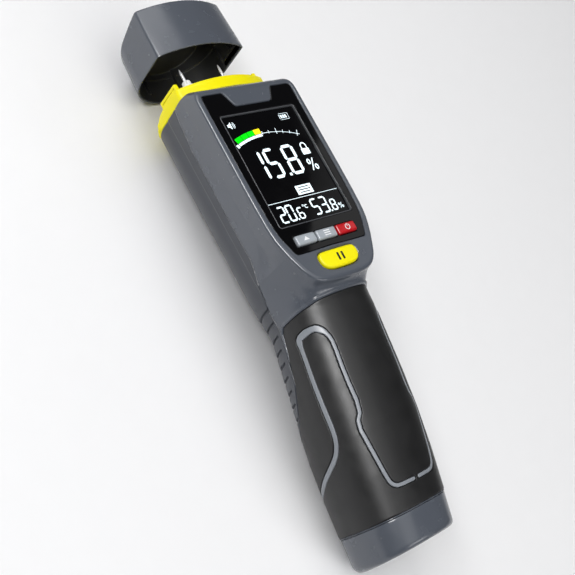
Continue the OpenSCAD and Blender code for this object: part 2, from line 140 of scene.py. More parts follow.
def polygon_field(px, py, points):
    """Signed distance in the plane to a closed outline."""
    best = np.full(px.shape, 1e9)
    inside = np.zeros(px.shape, bool)
    for (ax, ay), (bx, by) in zip(points, points[1:] + points[:1]):
        ex, ey = bx - ax, by - ay
        wx, wy = px - ax, py - ay
        t = np.clip((wx * ex + wy * ey) / (ex * ex + ey * ey), 0, 1)
        best = np.minimum(best, (wx - ex * t) ** 2 + (wy - ey * t) ** 2)
        if ay != by:
            crosses = (ay > py) != (by > py)
            inside ^= crosses & (px < ax + ex * (py - ay) / ey)
    distance = np.sqrt(best)
    return np.where(inside, -distance, distance)


def line_field(px, py, points):
    """Distance in the plane to an open line."""
    best = np.full(px.shape, 1e9)
    for (ax, ay), (bx, by) in zip(points, points[1:]):
        ex, ey = bx - ax, by - ay
        wx, wy = px - ax, py - ay
        t = np.clip((wx * ex + wy * ey) / (ex * ex + ey * ey), 0, 1)
        best = np.minimum(best, (wx - ex * t) ** 2 + (wy - ey * t) ** 2)
    return np.sqrt(best)


def box_field(x, y, z, low, high, r=0.0):
    """A box between two corners, with edges rounded by r."""
    mid = [(a + b) / 2 for a, b in zip(low, high)]
    half = [(b - a) / 2 - r for a, b in zip(low, high)]
    q = [np.abs(v - m) - h for v, m, h in zip((x, y, z), mid, half)]
    out = np.sqrt(sum(np.maximum(v, 0) ** 2 for v in q))
    return out + np.minimum(np.maximum(np.maximum(q[0], q[1]), q[2]), 0) - r


def mirrored(right):
    return right + [(-x, y) for x, y in reversed(right)]


def arc_points(cx, cy, r, start, end, count=8):
    turn = [math.radians(lerp(start, end, i / count)) for i in range(count + 1)]
    return [(cx + r * math.cos(a), cy + r * math.sin(a)) for a in turn]


# ---- the body's form ----


def neck_blend(y):
    return ease((NECK_TOP - y) / (NECK_TOP - NECK_END))


def mid_z(y):
    handle = -15 - HANDLE_LEAN * np.maximum(0, NECK_END - y)
    return lerp(-BACK_START, handle, neck_blend(y))


def head_section(x, z, corner=1.4):
    """Flat sides, an arched front and a rounded back."""
    arch = np.hypot(x, z + ARCH_R - FRONT_ARCH) - ARCH_R
    front = smax(np.abs(x) - HEAD_HALF_W, arch, corner)
    u, v = x / HEAD_HALF_W, (z + BACK_START) / BACK_DEPTH
    reach = np.sqrt(u * u + v * v) + 1e-6
    slope = np.sqrt((u / HEAD_HALF_W) ** 2 + (v / BACK_DEPTH) ** 2) / reach + 1e-6
    back = (reach - 1) / slope
    return np.where(z < -BACK_START, back, front)


def handle_section(x, z, half):
    u, v = np.abs(x) / half, np.abs(z) / half
    total = u ** HANDLE_POWER + v ** HANDLE_POWER + 1e-9
    reach = total ** (1 / HANDLE_POWER)
    k = HANDLE_POWER - 1
    slope = np.sqrt(u ** (2 * k) + v ** (2 * k)) * total ** (1 / HANDLE_POWER - 1) / half + 1e-6
    return (reach - 1) / slope


def core_field(x, y, z):
    """The head and handle without the display panel's raised ground."""
    middle = mid_z(y)
    half = np.interp(y, HANDLE_Y, HANDLE_HALF)
    corner = lerp(1.4, 14, ease((-66 - y) / 14))
    head = head_section(x, z - middle - BACK_START, corner)
    return lerp(head, handle_section(x, z - middle, half), neck_blend(y))


def to_panel(y, z):
    """Place along the display panel, and height above its rim."""
    dy, dz = y + PANEL_MID, z - PANEL_Z
    c, s = math.cos(PANEL_TILT), math.sin(PANEL_TILT)
    return dy * c + dz * s - PANEL_MID, dz * c - dy * s


def from_panel(points):
    """Points (x, along, height) on the display panel, to design points."""
    p = np.asarray(points, float)
    c, s = math.cos(PANEL_TILT), math.sin(PANEL_TILT)
    dy, dz = p[:, 1] + PANEL_MID, p[:, 2]
    return np.stack([p[:, 0], dy * c - dz * s - PANEL_MID, dy * s + dz * c + PANEL_Z], 1)


def rounded(points, rounds=2):
    """An open line with its corners cut again and again until it is a smooth curve."""
    for _ in range(rounds):
        cut = [points[0]]
        for (ax, ay), (bx, by) in zip(points, points[1:]):
            cut += [(lerp(ax, bx, 0.25), lerp(ay, by, 0.25)), (lerp(ax, bx, 0.75), lerp(ay, by, 0.75))]
        points = cut + [points[-1]]
    return points


PANEL_SIDE = rounded([(0.01, -92.1), (7, -92), (13.6, -91), (17.4, -88), (20.4, -82.2), (23.4, -74.8),
                      (25.1, -68.5), (25.6, -56), (25.7, -35), (25.7, 12)])
LENS_SIDE = (rounded([(0.01, -78.6), (15.6, -78.9), (18.6, -78.7), (19.6, -75.8), (21.9, -69.5), (22.8, -60),
                      (23, -40), (23.1, -14)]) + arc_points(21.3, -7.9, 1.8, 0, 90, 4)
             + rounded([(13.4, -6.1), (12.2, -6.1), (9.6, -12.2), (8.6, -12.8), (7.4, -12.8)], 2))
HOLD_SIDE = rounded([(0.01, -88.0), (6.5, -87.8), (9.3, -85.9), (9.9, -83.0), (9.0, -80.7), (6.5, -80.4)])


def panel_field(x, along):
    """Outline of the panel's rim, open at the top."""
    return polygon_field(np.abs(x), along, mirrored(PANEL_SIDE))


def hood_field(x, y, z):
    """The raised ground of the display: its flanks lean in, and its chin flares out to the neck."""
    along, height = to_panel(y, z)
    depth = -height
    outline = panel_field(x, along)
    neck = smax(np.abs(x) - np.interp(y, NECK_Y, NECK_HALF), -(y + NECK_FOOT), 8.0)
    flank = (outline + 0.15 * depth) / 1.01
    flare = lerp(outline, neck, ease(depth / FLARE_DEPTH))
    sides = lerp(flank, flare, ease((-64 - y) / 16))
    top = (along - PANEL_TOP - 0.6 * depth) / 1.17
    walls = smax(sides, top, 4.0)
    bevel = walls * 0.63 + height * 0.777 + RIM_FLAT
    return np.maximum(smax(smax(walls, height, RIM_ROUND), bevel, RIM_ROUND), -(z + 12))


def body_field(x, y, z):
    fillet = lerp(2.5, 5.0, ease((-80 - y) / 9) * ease((z + 1) / 5))
    return smin(core_field(x, y, z), hood_field(x, y, z), fillet)


def joint_line(y, z):
    """Above (positive) or below the handle's lower joint."""
    mid = -15 - HANDLE_LEAN * (JOINT_DROP + NECK_END)
    return (y + JOINT_DROP) * math.cos(JOINT_LEAN) + (z - mid) * math.sin(JOINT_LEAN)


PARTING_Y = [-192, -96.5, -88, -78, -68, -19, -6, 0, 4]
PARTING_Z = [-39.7, -17, -15.6, -11.6, -8.8, -8.4, -6.6, -5, -3]


def front_field(y, z):
    """Negative in front of the line where the two housings meet."""
    return (np.interp(y, PARTING_Y, PARTING_Z) - z) * 0.96


# Where the rubber ends, seen from the side as (y, z)
SLEEVE_EDGE = [(-146, -90), (-144, -52), (-137, -40), (-129.2, -30.6), (-117.7, -22.7), (-104.4, -17.7),
               (-98.6, -16.0), (-96.6, -14.0), (-95.2, 3), (-94.8, 30)]


def sleeve_side(y, z):
    """Distance from the rubber's edge: negative where the rubber covers the handle."""
    edge = np.interp(z, [p[1] for p in SLEEVE_EDGE], [p[0] for p in SLEEVE_EDGE])
    return np.sign(y - edge) * line_field(y, z, SLEEVE_EDGE)


def under_sleeve(y, z, body):
    """The ground that the sleeve takes from the housings."""
    return np.maximum(sleeve_side(y, z), -(body + SLEEVE_T + 0.1))


def table_flat(y, z):
    """Above zero below the table: cuts the narrow flat that both caps rest on."""
    return -(TURN_NP[2, 1] * y + TURN_NP[2, 2] * z + SHIFT_NP[2])


# ---- making meshes ----


def surface(name, field, low, high, voxel, material, body, nodes=()):
    """Meshes a distance field between two corners, settles its points on the true surface and lets it
    ride on a body."""
    voxel = voxel
    axes = [np.arange(a - 2 * voxel, b + 2.5 * voxel, voxel) for a, b in zip(low, high)]
    values = sampled(field, axes, voxel)
    grid = openvdb.FloatGrid(3 * voxel)
    grid.copyFromArray(values)
    points, quads = grid.convertToQuads(isovalue=0.0)
    p = points * voxel + np.array([a[0] for a in axes])
    for _ in range(2):
        value, slope = gradient(field, p)
        steep = np.maximum((slope ** 2).sum(1), 0.2)
        step = (value / steep)[:, None] * slope
        length = np.linalg.norm(step, axis=1, keepdims=True)
        p = p - step * np.minimum(1, 0.6 * voxel / np.maximum(length, 1e-9))
    mesh = bpy.data.meshes.new(name)
    mesh.from_pydata(place(p).tolist(), [], quads.tolist())
    mesh.update()
    piece = bpy.data.objects.new(name, mesh)
    bpy.context.scene.collection.objects.link(piece)
    mesh.polygons.foreach_set("use_smooth", [True] * len(mesh.polygons))
    normal = gradient(field, p)[1] @ TURN_NP.T
    normal /= np.maximum(np.linalg.norm(normal, axis=1, keepdims=True), 1e-9)
    mesh.normals_split_custom_set_from_vertices(normal.tolist())
    finish_piece(piece, material, body, nodes)
    return piece


BLOCK = 4


def sampled(field, axes, voxel):
    """The field on a grid, worked out only in the blocks that the surface may cross."""
    axes = [np.append(a, a[-1] + voxel * np.arange(1, 1 + -len(a) % BLOCK)) for a in axes]
    mids = [a.reshape(-1, BLOCK).mean(1) for a in axes]
    rough = field(*np.meshgrid(*mids, indexing="ij"))
    values = np.where(rough > 0, 3 * voxel, -3 * voxel).astype(np.float32)
    values = values.repeat(BLOCK, 0).repeat(BLOCK, 1).repeat(BLOCK, 2)
    near = np.argwhere(np.abs(rough) < 8 * voxel)
    offset = np.stack(np.meshgrid(*[np.arange(BLOCK)] * 3, indexing="ij"), -1).reshape(-1, 3)
    cells = (near[:, None] * BLOCK + offset).reshape(-1, 3)
    i, j, k = cells.T
    fine = field(axes[0][i], axes[1][j], axes[2][k])
    values[i, j, k] = np.clip(fine, -3 * voxel, 3 * voxel)
    return values


def gradient(field, p, e=0.02):
    x, y, z = p[:, 0], p[:, 1], p[:, 2]
    value = field(x, y, z)
    slope = np.stack([field(x + e, y, z) - field(x - e, y, z),
                      field(x, y + e, z) - field(x, y - e, z),
                      field(x, y, z + e) - field(x, y, z - e)], 1) / (2 * e)
    return value, slope


def finish_piece(piece, material, body, nodes=()):
    piece.data.materials.append(material)
    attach(piece, body)
    if nodes:
        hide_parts(*nodes)


def lathe(name, profile, x, z, material, body, nodes=(), steps=48, flutes=0, depth=0.0):
    """Turns a profile of (radius, y) points round a line along the head."""
    rings = []
    for radius, y in profile:
        ring = []
        for i in range(steps):
            a = 2 * math.pi * i / steps
            r = radius - depth * (0.5 - 0.5 * math.cos(flutes * a)) if flutes else radius
            ring.append((x + r * math.cos(a), y, z + r * math.sin(a)))
        rings.append(ring)
    points = [p for ring in rings for p in ring]
    count = len(rings)
    faces = [(i * steps + j, i * steps + (j + 1) % steps, (i + 1) * steps + (j + 1) % steps,
              (i + 1) * steps + j) for i in range(count - 1) for j in range(steps)]
    faces += [tuple(range(steps))[::-1], tuple((count - 1) * steps + j for j in range(steps))]
    return mesh_piece(name, points, faces, material, body, nodes, smooth_angle=35)


def mesh_piece(name, points, faces, material, body, nodes=(), smooth_angle=None):
    """Design points in millimetres and faces, as a closed piece with outward faces."""
    mesh = bpy.data.meshes.new(name)
    mesh.from_pydata(place(points).tolist(), [], faces)
    work = bmesh.new()
    work.from_mesh(mesh)
    bmesh.ops.recalc_face_normals(work, faces=work.faces)
    if smooth_angle:
        for face in work.faces:
            face.smooth = True
        for edge in work.edges:
            edge.smooth = edge.calc_face_angle(0) < math.radians(smooth_angle)
    work.to_mesh(mesh)
    work.free()
    piece = bpy.data.objects.new(name, mesh)
    bpy.context.scene.collection.objects.link(piece)
    finish_piece(piece, material, body, nodes)
    return piece


def panel_print(name, outlines, material, body, base, thick=0.04):
    """Flat marks on the display panel: closed outlines of (x, along), as thin solids."""
    points, faces = [], []
    for outline in outlines:
        n, first = len(outline), len(points)
        points += [(x, y, base) for x, y in outline] + [(x, y, base + thick) for x, y in outline]
        faces.append(tuple(first + i for i in range(n))[::-1])
        faces.append(tuple(first + n + i for i in range(n)))
        faces += [(first + i, first + (i + 1) % n, first + n + (i + 1) % n, first + n + i)
                  for i in range(n)]
    return mesh_piece(name, from_panel(points), faces, material, body)


# ---- materials ----


def linear(r, g, b):
    """A screen colour from 0 to 255 as scene-linear values."""
    return tuple((v / 255 / 12.92) if v < 10.3 else ((v / 255 + 0.055) / 1.055) ** 2.4
                 for v in (r, g, b)) + (1.0,)


def new_material(name):
    material = bpy.data.materials.new(name)
    material.use_nodes = True
    nodes, links = material.node_tree.nodes, material.node_tree.links
    return material, nodes, links, nodes["Principled BSDF"]


def noise(nodes, links, place_out, scale, detail=3.0):
    node = nodes.new("ShaderNodeTexNoise")
    node.inputs["Scale"].default_value = scale
    node.inputs["Detail"].default_value = detail
    links.new(place_out, node.inputs["Vector"])
    return node.outputs["Fac"]


def ranged(nodes, links, value, low, high):
    node = nodes.new("ShaderNodeMapRange")
    node.inputs["From Min"].default_value = 0.3
    node.inputs["From Max"].default_value = 0.7
    node.inputs["To Min"].default_value = low
    node.inputs["To Max"].default_value = high
    links.new(value, node.inputs["Value"])
    return node.outputs["Result"]


def moulded(name, color, rough, grain=2600.0, bump=0.12, spread=0.05, tint=0.06, coat=0.0,
            metallic=0.0, specular=0.5):
    """Moulded or coated stuff: fine grain, uneven gloss and a slight shift of tone."""
    material, nodes, links, shader = new_material(name)
    coords = nodes.new("ShaderNodeTexCoord").outputs["Object"]
    shader.inputs["Metallic"].default_value = metallic
    shader.inputs["Specular IOR Level"].default_value = specular
    shader.inputs["Coat Weight"].default_value = coat
    shader.inputs["Coat Roughness"].default_value = 0.08
    tone = nodes.new("ShaderNodeMix")
    tone.data_type = "RGBA"
    tone.inputs[6].default_value = tuple(c * (1 - tint) for c in color[:3]) + (1.0,)
    tone.inputs[7].default_value = tuple(min(1.0, c * (1 + tint)) for c in color[:3]) + (1.0,)
    links.new(noise(nodes, links, coords, 90.0), tone.inputs[0])
    links.new(tone.outputs[2], shader.inputs["Base Color"])
    gloss = ranged(nodes, links, noise(nodes, links, coords, 160.0, 5.0), rough - spread, rough + spread)
    links.new(gloss, shader.inputs["Roughness"])
    relief = nodes.new("ShaderNodeBump")
    relief.inputs["Strength"].default_value = bump
    relief.inputs["Distance"].default_value = 0.0001
    links.new(noise(nodes, links, coords, grain, 2.0), relief.inputs["Height"])
    links.new(relief.outputs["Normal"], shader.inputs["Normal"])
    return material


def glowing(name, color, strength, rough=0.2):
    """A lit mark on the display, a little uneven as a real segment is."""
    material, nodes, links, shader = new_material(name)
    coords = nodes.new("ShaderNodeTexCoord").outputs["Object"]
    shader.inputs["Base Color"].default_value = color
    shader.inputs["Roughness"].default_value = rough
    shader.inputs["Emission Color"].default_value = color
    glow = ranged(nodes, links, noise(nodes, links, coords, 300.0), strength * 0.92, strength * 1.08)
    links.new(glow, shader.inputs["Emission Strength"])
    return material


HOUSING = moulded("housing_grey", linear(84, 89, 98), 0.24, bump=0.03, tint=0.03)
REAR_HOUSING = moulded("rear_grey", linear(56, 60, 68), 0.34, bump=0.1, tint=0.03)
YELLOW = moulded("yellow_plastic", linear(255, 242, 0), 0.4, grain=1800.0, bump=0.05, tint=0.01,
                 specular=0.25)
RUBBER = moulded("grip_rubber", linear(25, 25, 26), 0.42, grain=3200.0, bump=0.3, spread=0.06, tint=0.1,
                 specular=0.4)
INLAY = moulded("inlay_grey", linear(138, 143, 150), 0.36, bump=0.08, tint=0.04)
# Dark plastic of the inner parts, also used as painted shade on the inside of the lifted cap.
DARK_AND_SHADE = moulded("dark_plastic", linear(30, 31, 33), 0.5, grain=1500.0, bump=0.2, tint=0.12)
LENS = moulded("lens_gloss", linear(5, 5, 7), 0.04, grain=400.0, bump=0.004, spread=0.02, tint=0.1,
              specular=0.4)
SCREEN = moulded("screen_dark", linear(7, 7, 9), 0.1, grain=500.0, bump=0.01, spread=0.04, tint=0.08,
                specular=0.2)
BEZEL = moulded("bezel_grey", linear(74, 76, 80), 0.35, grain=900.0, bump=0.05, tint=0.05)
WHITE = moulded("white_plastic", linear(236, 238, 240), 0.35, bump=0.05, tint=0.02)
STEEL = moulded("ground_steel", linear(244, 245, 248), 0.3, grain=5000.0, bump=0.1, metallic=0.4)
BRASS = moulded("turned_brass", linear(205, 170, 95), 0.28, grain=4000.0, bump=0.1, metallic=1.0)
LIGHT_KEY = moulded("light_key", linear(168, 175, 182), 0.32, bump=0.05, tint=0.02, coat=0.2)
RED_KEY = moulded("red_key", linear(196, 16, 28), 0.34, bump=0.05, tint=0.03, coat=0.3)
BOARD = moulded("circuit_board", linear(20, 92, 52), 0.4, grain=900.0, bump=0.3, tint=0.15)
LEAD = moulded("lead_red", linear(170, 25, 25), 0.4, grain=1500.0, bump=0.1)
CELL = moulded("cell_wrap", linear(190, 140, 60), 0.3, grain=800.0, bump=0.05, tint=0.1)
SEAL = moulded("seal_rubber", linear(28, 28, 28), 0.6, grain=2500.0, bump=0.3)
MARK_WHITE = moulded("printed_white", linear(245, 246, 248), 0.4, bump=0.03, tint=0.01)
MARK_BLACK = moulded("printed_black", linear(18, 18, 18), 0.4, bump=0.03, tint=0.05)
LIT = glowing("lit_white", linear(222, 238, 244), 0.8)
LIT_GREEN = glowing("lit_green", linear(0, 205, 10), 0.8)
LIT_YELLOW = glowing("lit_yellow", linear(240, 215, 20), 0.8)

# ---- housings ----


def bead(y, z, body):
    """A thin raised lip on the housings along the rubber's edge."""
    return np.hypot(body + 0.1, sleeve_side(y, z) - 0.55) - 0.55


def housing_ground(x, y, z):
    """Both housings together: drawn in under the rubber, hollow, flat at the top."""
    body = body_field(x, y, z)
    solid = smax(body, -under_sleeve(y, z, body), 0.3)
    solid = smin(solid, bead(y, z, body), 0.4)
    hollow = body + lerp(WALL, WALL + SLEEVE_T + 0.1, ease((-88 - y) / 6))
    solid = np.maximum(solid, -np.maximum(hollow, y + 0.5))
    solid = smax(solid, y, 0.5)
    return smax(solid, 0.4 - joint_line(y, z), 0.2), body


def key_holes(x, along, height, grow):
    half_w, half_l = KEY_W / 2 + grow, KEY_L / 2 + grow
    holes = [box_field(x - i * KEY_PITCH, along - KEY_ROW, height, (-half_w, -half_l, -8), (half_w, half_l, 6), 0.8)
             for i in (-1, 0, 1)]
    return np.minimum(np.minimum(holes[0], holes[1]), holes[2])


def front_shell(x, y, z):
    solid, _ = housing_ground(x, y, z)
    solid = smax(solid, front_field(y, z) + 0.1, 0.45)
    along, height = to_panel(y, z)
    near = height > -9
    lens = np.where(near, polygon_field(x, along, mirrored(LENS_SIDE)), 9.0)
    pocket = np.maximum(lens, -(height + LENS_SINK + LENS_T))
    window = np.maximum(np.maximum(np.abs(x) - 18.4, np.abs(along + 41) - 24.6), -(height + 8))
    hold = np.where(near, polygon_field(x, along, mirrored(HOLD_SIDE)), 9.0)
    dish = smax(hold - 0.5, -(height + 0.4), 0.4)
    solid = smax(solid, -pocket, 0.35)
    solid = smax(solid, -dish, 0.3)
    solid = np.maximum(solid, -window)
    solid = np.maximum(solid, -np.maximum(hold - 0.25, -(height + 8)))
    return np.maximum(solid, -key_holes(x, along, height, 0.25))


RIB_PITCH = 5.0
RIB_TOP = -88.0


def rear_shell(x, y, z):
    solid, body = housing_ground(x, y, z)
    solid = smax(solid, 0.1 - front_field(y, z), 0.45)
    tilt = y - 0.06 * (z + 20)
    step = np.clip(np.round((RIB_TOP - tilt) / RIB_PITCH), 0, 8)
    across = np.abs(tilt - (RIB_TOP - step * RIB_PITCH)) - 0.5
    reach = smax(across, -(body + 0.85), 0.3)
    reach = np.maximum(reach, z + 15.7 - 0.376 * (y + 88))
    solid = smax(solid, -reach, 0.35)
    for sx in (-13, 13):
        for sy in (-14, -66):
            hole = np.maximum(np.hypot(x - sx, y - sy) - 2.35, z + 27)
            solid = smax(solid, -hole, 0.4)
    return solid


def sleeve_top(x, y, z):
    """The rubber's own surface, a little proud of the housings below its upper edge."""
    return body_field(x, y, z) - SLEEVE_PROUD * ease((-97 - y) / 10)


# The strip runs over the side of the handle as (angle round the handle in degrees, y)
INLAY_PATH = rounded([(266, -163.2), (232, -161.4), (206.5, -157.3), (193.5, -154.6), (178.4, -152.1),
                      (168, -150.2), (161, -148), (156.5, -144.5), (155.8, -139.5), (157.5, -131),
                      (159.3, -121), (160.2, -106), (160, -104.2), (152, -103.6), (140, -103.6),
                      (134.7, -104.9), (128, -108.2), (125.8, -112), (126, -124), (123.5, -138.3),
                      (131, -142.4), (126.8, -153), (121.8, -165.6), (119, -167.8), (113.5, -169.2),
                      (94, -169.4)], 1)


def inlay_field(x, y, z):
    """Distance, over the handle, from the edge of the grey strips; both sides are alike."""
    angle = np.degrees(np.arctan2(z - mid_z(y), -np.abs(x))) % 360
    outer_line = 0.3 * ease((angle - 140) / 12)
    upper_bend = 0.45 * ease((y + 108) / 3)
    lower_bend = 0.15 * ease((-144 - y) / 6) * ease((angle - 150) / 8)
    arc = math.radians(1) * 21.5
    middle = line_field(angle * arc, y, [(a * arc, b) for a, b in INLAY_PATH])
    return middle - (0.72 + outer_line + upper_bend + lower_bend)


def grip(x, y, z):
    top = sleeve_top(x, y, z)
    solid = np.maximum(top, -(body_field(x, y, z) + SLEEVE_T))
    solid = smax(solid, sleeve_side(y, z) + 0.12, 0.5)
    solid = smax(solid, 0.55 - joint_line(y, z), 0.6)
    return smax(solid, -np.maximum(inlay_field(x, y, z) - 0.18, -(top + 0.9)), 0.3)


def inlay(side):
    def field(x, y, z):
        top = sleeve_top(x, y, z) + 0.12
        strip = smax(inlay_field(x, y, z), top, 0.45)
        return np.maximum(np.maximum(strip, -(top + 0.7)), -x * side)
    return field


def end_ring(x, y, z):
    line = joint_line(y, z)
    band = np.abs(line - 0.26) - 0.22
    body = body_field(x, y, z)
    return np.maximum(smax(body - 0.2, band, 0.15), -(body + 3))


def foot_cap(x, y, z):
    line = joint_line(y, z)
    body = body_field(x, y, z)
    solid = smax(body, -(y + BASE_DROP), lerp(5.0, 2.4, ease((z + 50) / 20)))
    solid = smax(solid, line + 0.1, 0.5)
    solid = smax(solid, table_flat(y, z), 0.1)
    groove = np.maximum(np.abs(body + 4.6) - 0.3, y + BASE_DROP - 0.35)
    solid = smax(solid, -groove, 0.2)
    return np.maximum(solid, -np.maximum(body + SLEEVE_T + 0.6, -(y + BASE_DROP - 2.4)))


# ---- head ----


def collar(x, y, z):
    angle = np.arctan2(z + BACK_START, np.abs(x))
    section = head_section(x, z) + 0.3 * np.clip(y, 0, 6) * ease((0.3 - angle) / 0.6)
    wave = ease((-angle - 0.05) / 0.1) * ease((1.15 + angle) / 0.1)
    scallop = 0.75 * wave * np.abs(np.cos(angle * 12.5)) ** 0.7
    lobes = smax(section - scallop, np.abs(y - 2.5) - 1.7, 0.7)
    ring = smax(section, np.abs(y - COLLAR_H / 2 - 0.05) - COLLAR_H / 2 + 0.05, 0.6)
    solid = smin(ring, lobes, 0.4)
    tab = polygon_field(z, y, [(-14.2, 2), (-14, 8.4), (-1.6, 8.4), (-1.2, 2)])
    tab = smax(tab - 0.4, np.abs(np.abs(x) - 20.3) - 0.9, 0.4)
    slit = np.maximum(np.maximum(np.abs(y - 7.3) - 0.16, np.abs(z + 7.6) - 5.6), 20.9 - np.abs(x))
    solid = smax(smin(solid, tab, 0.2), -slit, 0.15)
    deck = np.maximum(section + 2.6, 4.2 - y)
    solid = smax(solid, -deck, 0.4)
    for px in (-PIN_X, PIN_X):
        boss = smax(np.hypot(x - px, z - PIN_Z) - 4.4, np.abs(y - 4) - 2.1, 0.6)
        solid = smin(solid, boss, 0.5)
    for px in (-PIN_X, PIN_X):
        solid = np.maximum(solid, -(np.hypot(x - px, z - PIN_Z) - 2.9))
    solid = np.maximum(solid, -(np.hypot(x, z + 24) - 3.1))
    return solid


def cap_scale(y):
    return 1 - 0.047 * (y - CAP_LIFT) / CAP_H


def cap_outer(x, y, z):
    scale = cap_scale(y)
    section = head_section(x / scale, (z + BACK_START) / scale - BACK_START, 1.0)
    bevel = (0.64 * np.abs(x) + 0.765 * z) / scale - 0.64 * HEAD_HALF_W + 0.45
    return smax(section, bevel, 0.6) * scale


def cap_roof(y, z):
    """Height above the cap's domed top."""
    back = np.maximum(0, -z - 0.1 * BACK_START)
    rise = 0.11 * back + 0.004 * back * back
    return (y - CAP_LIFT - CAP_H + rise) / np.sqrt(1 + (0.11 + 0.008 * back) ** 2)


CAP_SKIN = 0.75
# How far out the collar's side tabs need room when the cap is on
TAB_OUT = 21.3


def cap_shell(x, y, z):
    """The cap's grey outside, down to its rim."""
    outer = cap_outer(x, y, z)
    roof = cap_roof(y, z)
    solid = smax(smax(outer, roof, 1.5), CAP_LIFT - y, 0.35)
    solid = smax(solid, table_flat(y, z), 0.1)
    return smax(solid, -smax(outer + CAP_SKIN, roof + 1.0, 1.5), 0.15)


def cap_shaded_inside(x, y, z):
    """The cap's inner skin with its ribs and the ring under the roof, given the dark material as painted shade
    inside the hollow cap.
    """
    outer = cap_outer(x, y, z)
    roof = cap_roof(y, z)
    solid = smax(smax(outer + CAP_SKIN + 0.02, roof + 1.02, 1.5), CAP_LIFT + 0.25 - y, 0.2)
    inner = np.maximum(outer + CAP_WALL, roof + 2.0)
    room = y - CAP_LIFT - 3.6
    for rz in (-6.5, -14.5):
        rib = np.maximum(np.abs(z - rz) - 0.5, -(outer + CAP_WALL + 1.1))
        inner = smax(inner, -np.maximum(rib, -room), 0.4)
    for rx in (-8, 8):
        rib = np.maximum(np.abs(x - rx) - 0.5, -(outer + CAP_WALL + 1.3))
        inner = smax(inner, -np.maximum(rib, -room), 0.4)
    shelf = np.maximum(-(outer + CAP_WALL + 0.7), -(y - CAP_LIFT - 11))
    inner = smax(inner, -shelf, 0.4)
    boss = np.hypot(x, z - PIN_Z + 7)
    post = np.maximum(np.maximum(boss - 4, 2.6 - boss), CAP_LIFT + 15 - y)
    inner = smax(inner, -post, 0.4)
    tab_room = box_field(x, y, z, (-TAB_OUT, CAP_LIFT - 1, -14.8), (TAB_OUT, CAP_LIFT + 3.2, -0.6))
    return smax(smax(solid, -inner, 0.3), -tab_room, 0.1)


# ---- keys ----


def small_key(index):
    def field(x, y, z):
        along, height = to_panel(y, z)
        px, py = x - index * KEY_PITCH, along - KEY_ROW
        crown = height + 0.006 * px * px + 0.02 * py * py
        sides = box_field(px, py, np.zeros_like(px), (-KEY_W / 2, -KEY_L / 2, -9),
                          (KEY_W / 2, KEY_L / 2, 9), 0.7)
        solid = smax(sides, crown - 0.8, 1.0)
        return np.maximum(solid, -(height + 3.6))
    return field


def hold_key(x, y, z):
    along, height = to_panel(y, z)
    outline = polygon_field(x, along, mirrored(HOLD_SIDE))
    crown = height + 0.005 * x * x + 0.012 * (along - HOLD_Y) ** 2
    solid = smax(outline + 0.2 * np.maximum(height, 0), crown - HOLD_TOP, 0.9)
    return np.maximum(solid, -(height + 4))


def lens(x, y, z):
    along, height = to_panel(y, z)
    outline = polygon_field(x, along, mirrored(LENS_SIDE)) + 0.12
    solid = smax(outline, height + LENS_SINK, 0.3)
    solid = np.maximum(solid, -(height + LENS_SINK + LENS_T))
    sunk = np.maximum(screen_outline(x, along) - 0.3, -(height + LENS_SINK + SCREEN_SINK))
    solid = smax(solid, -sunk, 0.12)
    return smax(solid, -key_holes(x, along, height, 0.18), 0.3)


def screen_outline(x, along):
    mid = (SCREEN_LOW + SCREEN_HIGH) / 2
    half = (SCREEN_HIGH - SCREEN_LOW) / 2
    return box_field(x, along - mid, 0 * x, (-SCREEN_HALF, -half, -1), (SCREEN_HALF, half, 1), 0.9)


def screen_lining(x, y, z):
    """Sloped frame between the lens and the sunk screen."""
    along, height = to_panel(y, z)
    down = -(height + LENS_SINK)
    edge = screen_outline(x, along)
    slope = (edge + 0.1 + 0.25 * down) / 1.03
    solid = np.maximum(edge - 0.28, -(slope))
    solid = smax(solid, -down + 0.04, 0.1)
    return np.maximum(solid, down - SCREEN_SINK + 0.02)


surface("front_shell", front_shell, (-27, -182, -42), (27, 1, 16), 0.5, HOUSING,
        "meter_body", ["front_housing"])
surface("rear_shell", rear_shell, (-25, -182, -60), (25, 1, -2), 0.5, REAR_HOUSING,
        "meter_body", ["rear_housing"])
surface("grip_rubber", grip, (-24, -181, -62), (24, -93, 8), 0.45, RUBBER,
        "meter_body", ["grip_sleeve"])
surface("left_inlay", inlay(-1), (-24, -173, -58), (1, -99, 4), 0.28, INLAY,
        "meter_body", ["left_grip_inlay"])
surface("right_inlay", inlay(1), (-1, -173, -58), (24, -99, 4), 0.28, INLAY,
        "meter_body", ["right_grip_inlay"])
surface("end_ring", end_ring, (-23, -181, -58), (23, -174, -10), 0.25, HOUSING,
        "meter_body", ["grip_end_ring"])
surface("foot_cap", foot_cap, (-23, -193, -62), (23, -173, -10), 0.45, HOUSING,
        "battery_cap", ["battery_cap"])
surface("collar_ring", collar, (-24, -1, -38), (24, 10, 7), 0.32, YELLOW,
        "meter_body", ["head_collar"])
surface("lifted_cap_shell", cap_shell, (-24, 21, -38), (24, 45, 7), 0.3, HOUSING,
        "lifted_cap", ["pin_cap"])
# The cap's inside is coloured dark as painted shade in the hollow cap, over its real ribs and ring.
surface("lifted_cap_shaded_inside", cap_shaded_inside, (-24, 21, -38), (24, 45, 7), 0.3, DARK_AND_SHADE,
        "lifted_cap", ["pin_cap"])
surface("gloss_lens", lens, (-24, -80, 8), (24, -5, 14), 0.3, LENS,
        "meter_body", ["display_lens"])
surface("screen_frame", screen_lining, (-21, -69, 8), (21, -14, 13), 0.22, BEZEL, "meter_body")
for index, side, tone, slot in ((-1, "left", LIGHT_KEY, "light_key"), (0, "middle", LIGHT_KEY, "light_key"),
                                (1, "power", RED_KEY, "red_key")):
    mid = index * KEY_PITCH
    surface(side + "_key_top", small_key(index), (mid - 6, -77, 4), (mid + 6, -69, 13), 0.2, tone,
            side + "_key", [side + "_key"])
surface("hold_key", hold_key, (-11, -90, 3), (11, -79, 14), 0.25, YELLOW,
        "hold_button", ["hold_button"])

# ---- pins ----

